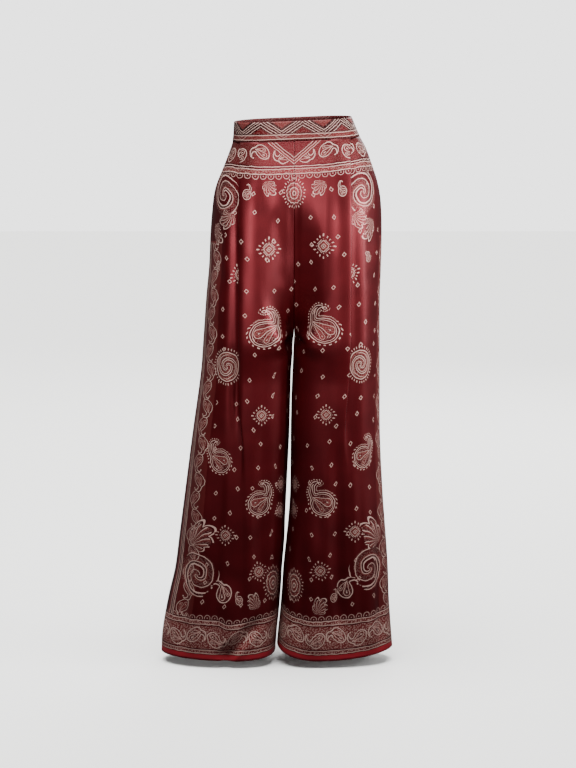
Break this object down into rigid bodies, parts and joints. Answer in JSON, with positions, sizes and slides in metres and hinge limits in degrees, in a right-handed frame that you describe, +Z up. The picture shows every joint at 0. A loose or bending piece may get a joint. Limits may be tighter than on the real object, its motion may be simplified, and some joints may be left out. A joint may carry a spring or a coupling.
{
  "type": "palazzo trousers",
  "caption": "High-waisted wide-leg palazzo trousers in printed satin, held in a standing worn form, hollow and open at waist and hems.",
  "frame": {"origin": "the middle of the waist opening, level with the waistband's top edge, where the wearer's waist holds the trousers up", "axes": "+Z up, the front towards -Y, the wearer's left towards +X"},
  "size_m": [0.4673, 0.2398, 1.0823],
  "materials": {
    "printed_satin": "satin weave, burgundy, with a cream and dark brown bandana print",
    "lacquered_metal": "lacquered burgundy"
  },
  "bodies": {
    "root": {"right_front": "printed_satin", "left_front": "printed_satin", "right_back": "printed_satin", "left_back": "printed_satin", "waistband": "printed_satin", "zip_pull": "lacquered_metal"}
  },
  "joints": []
}
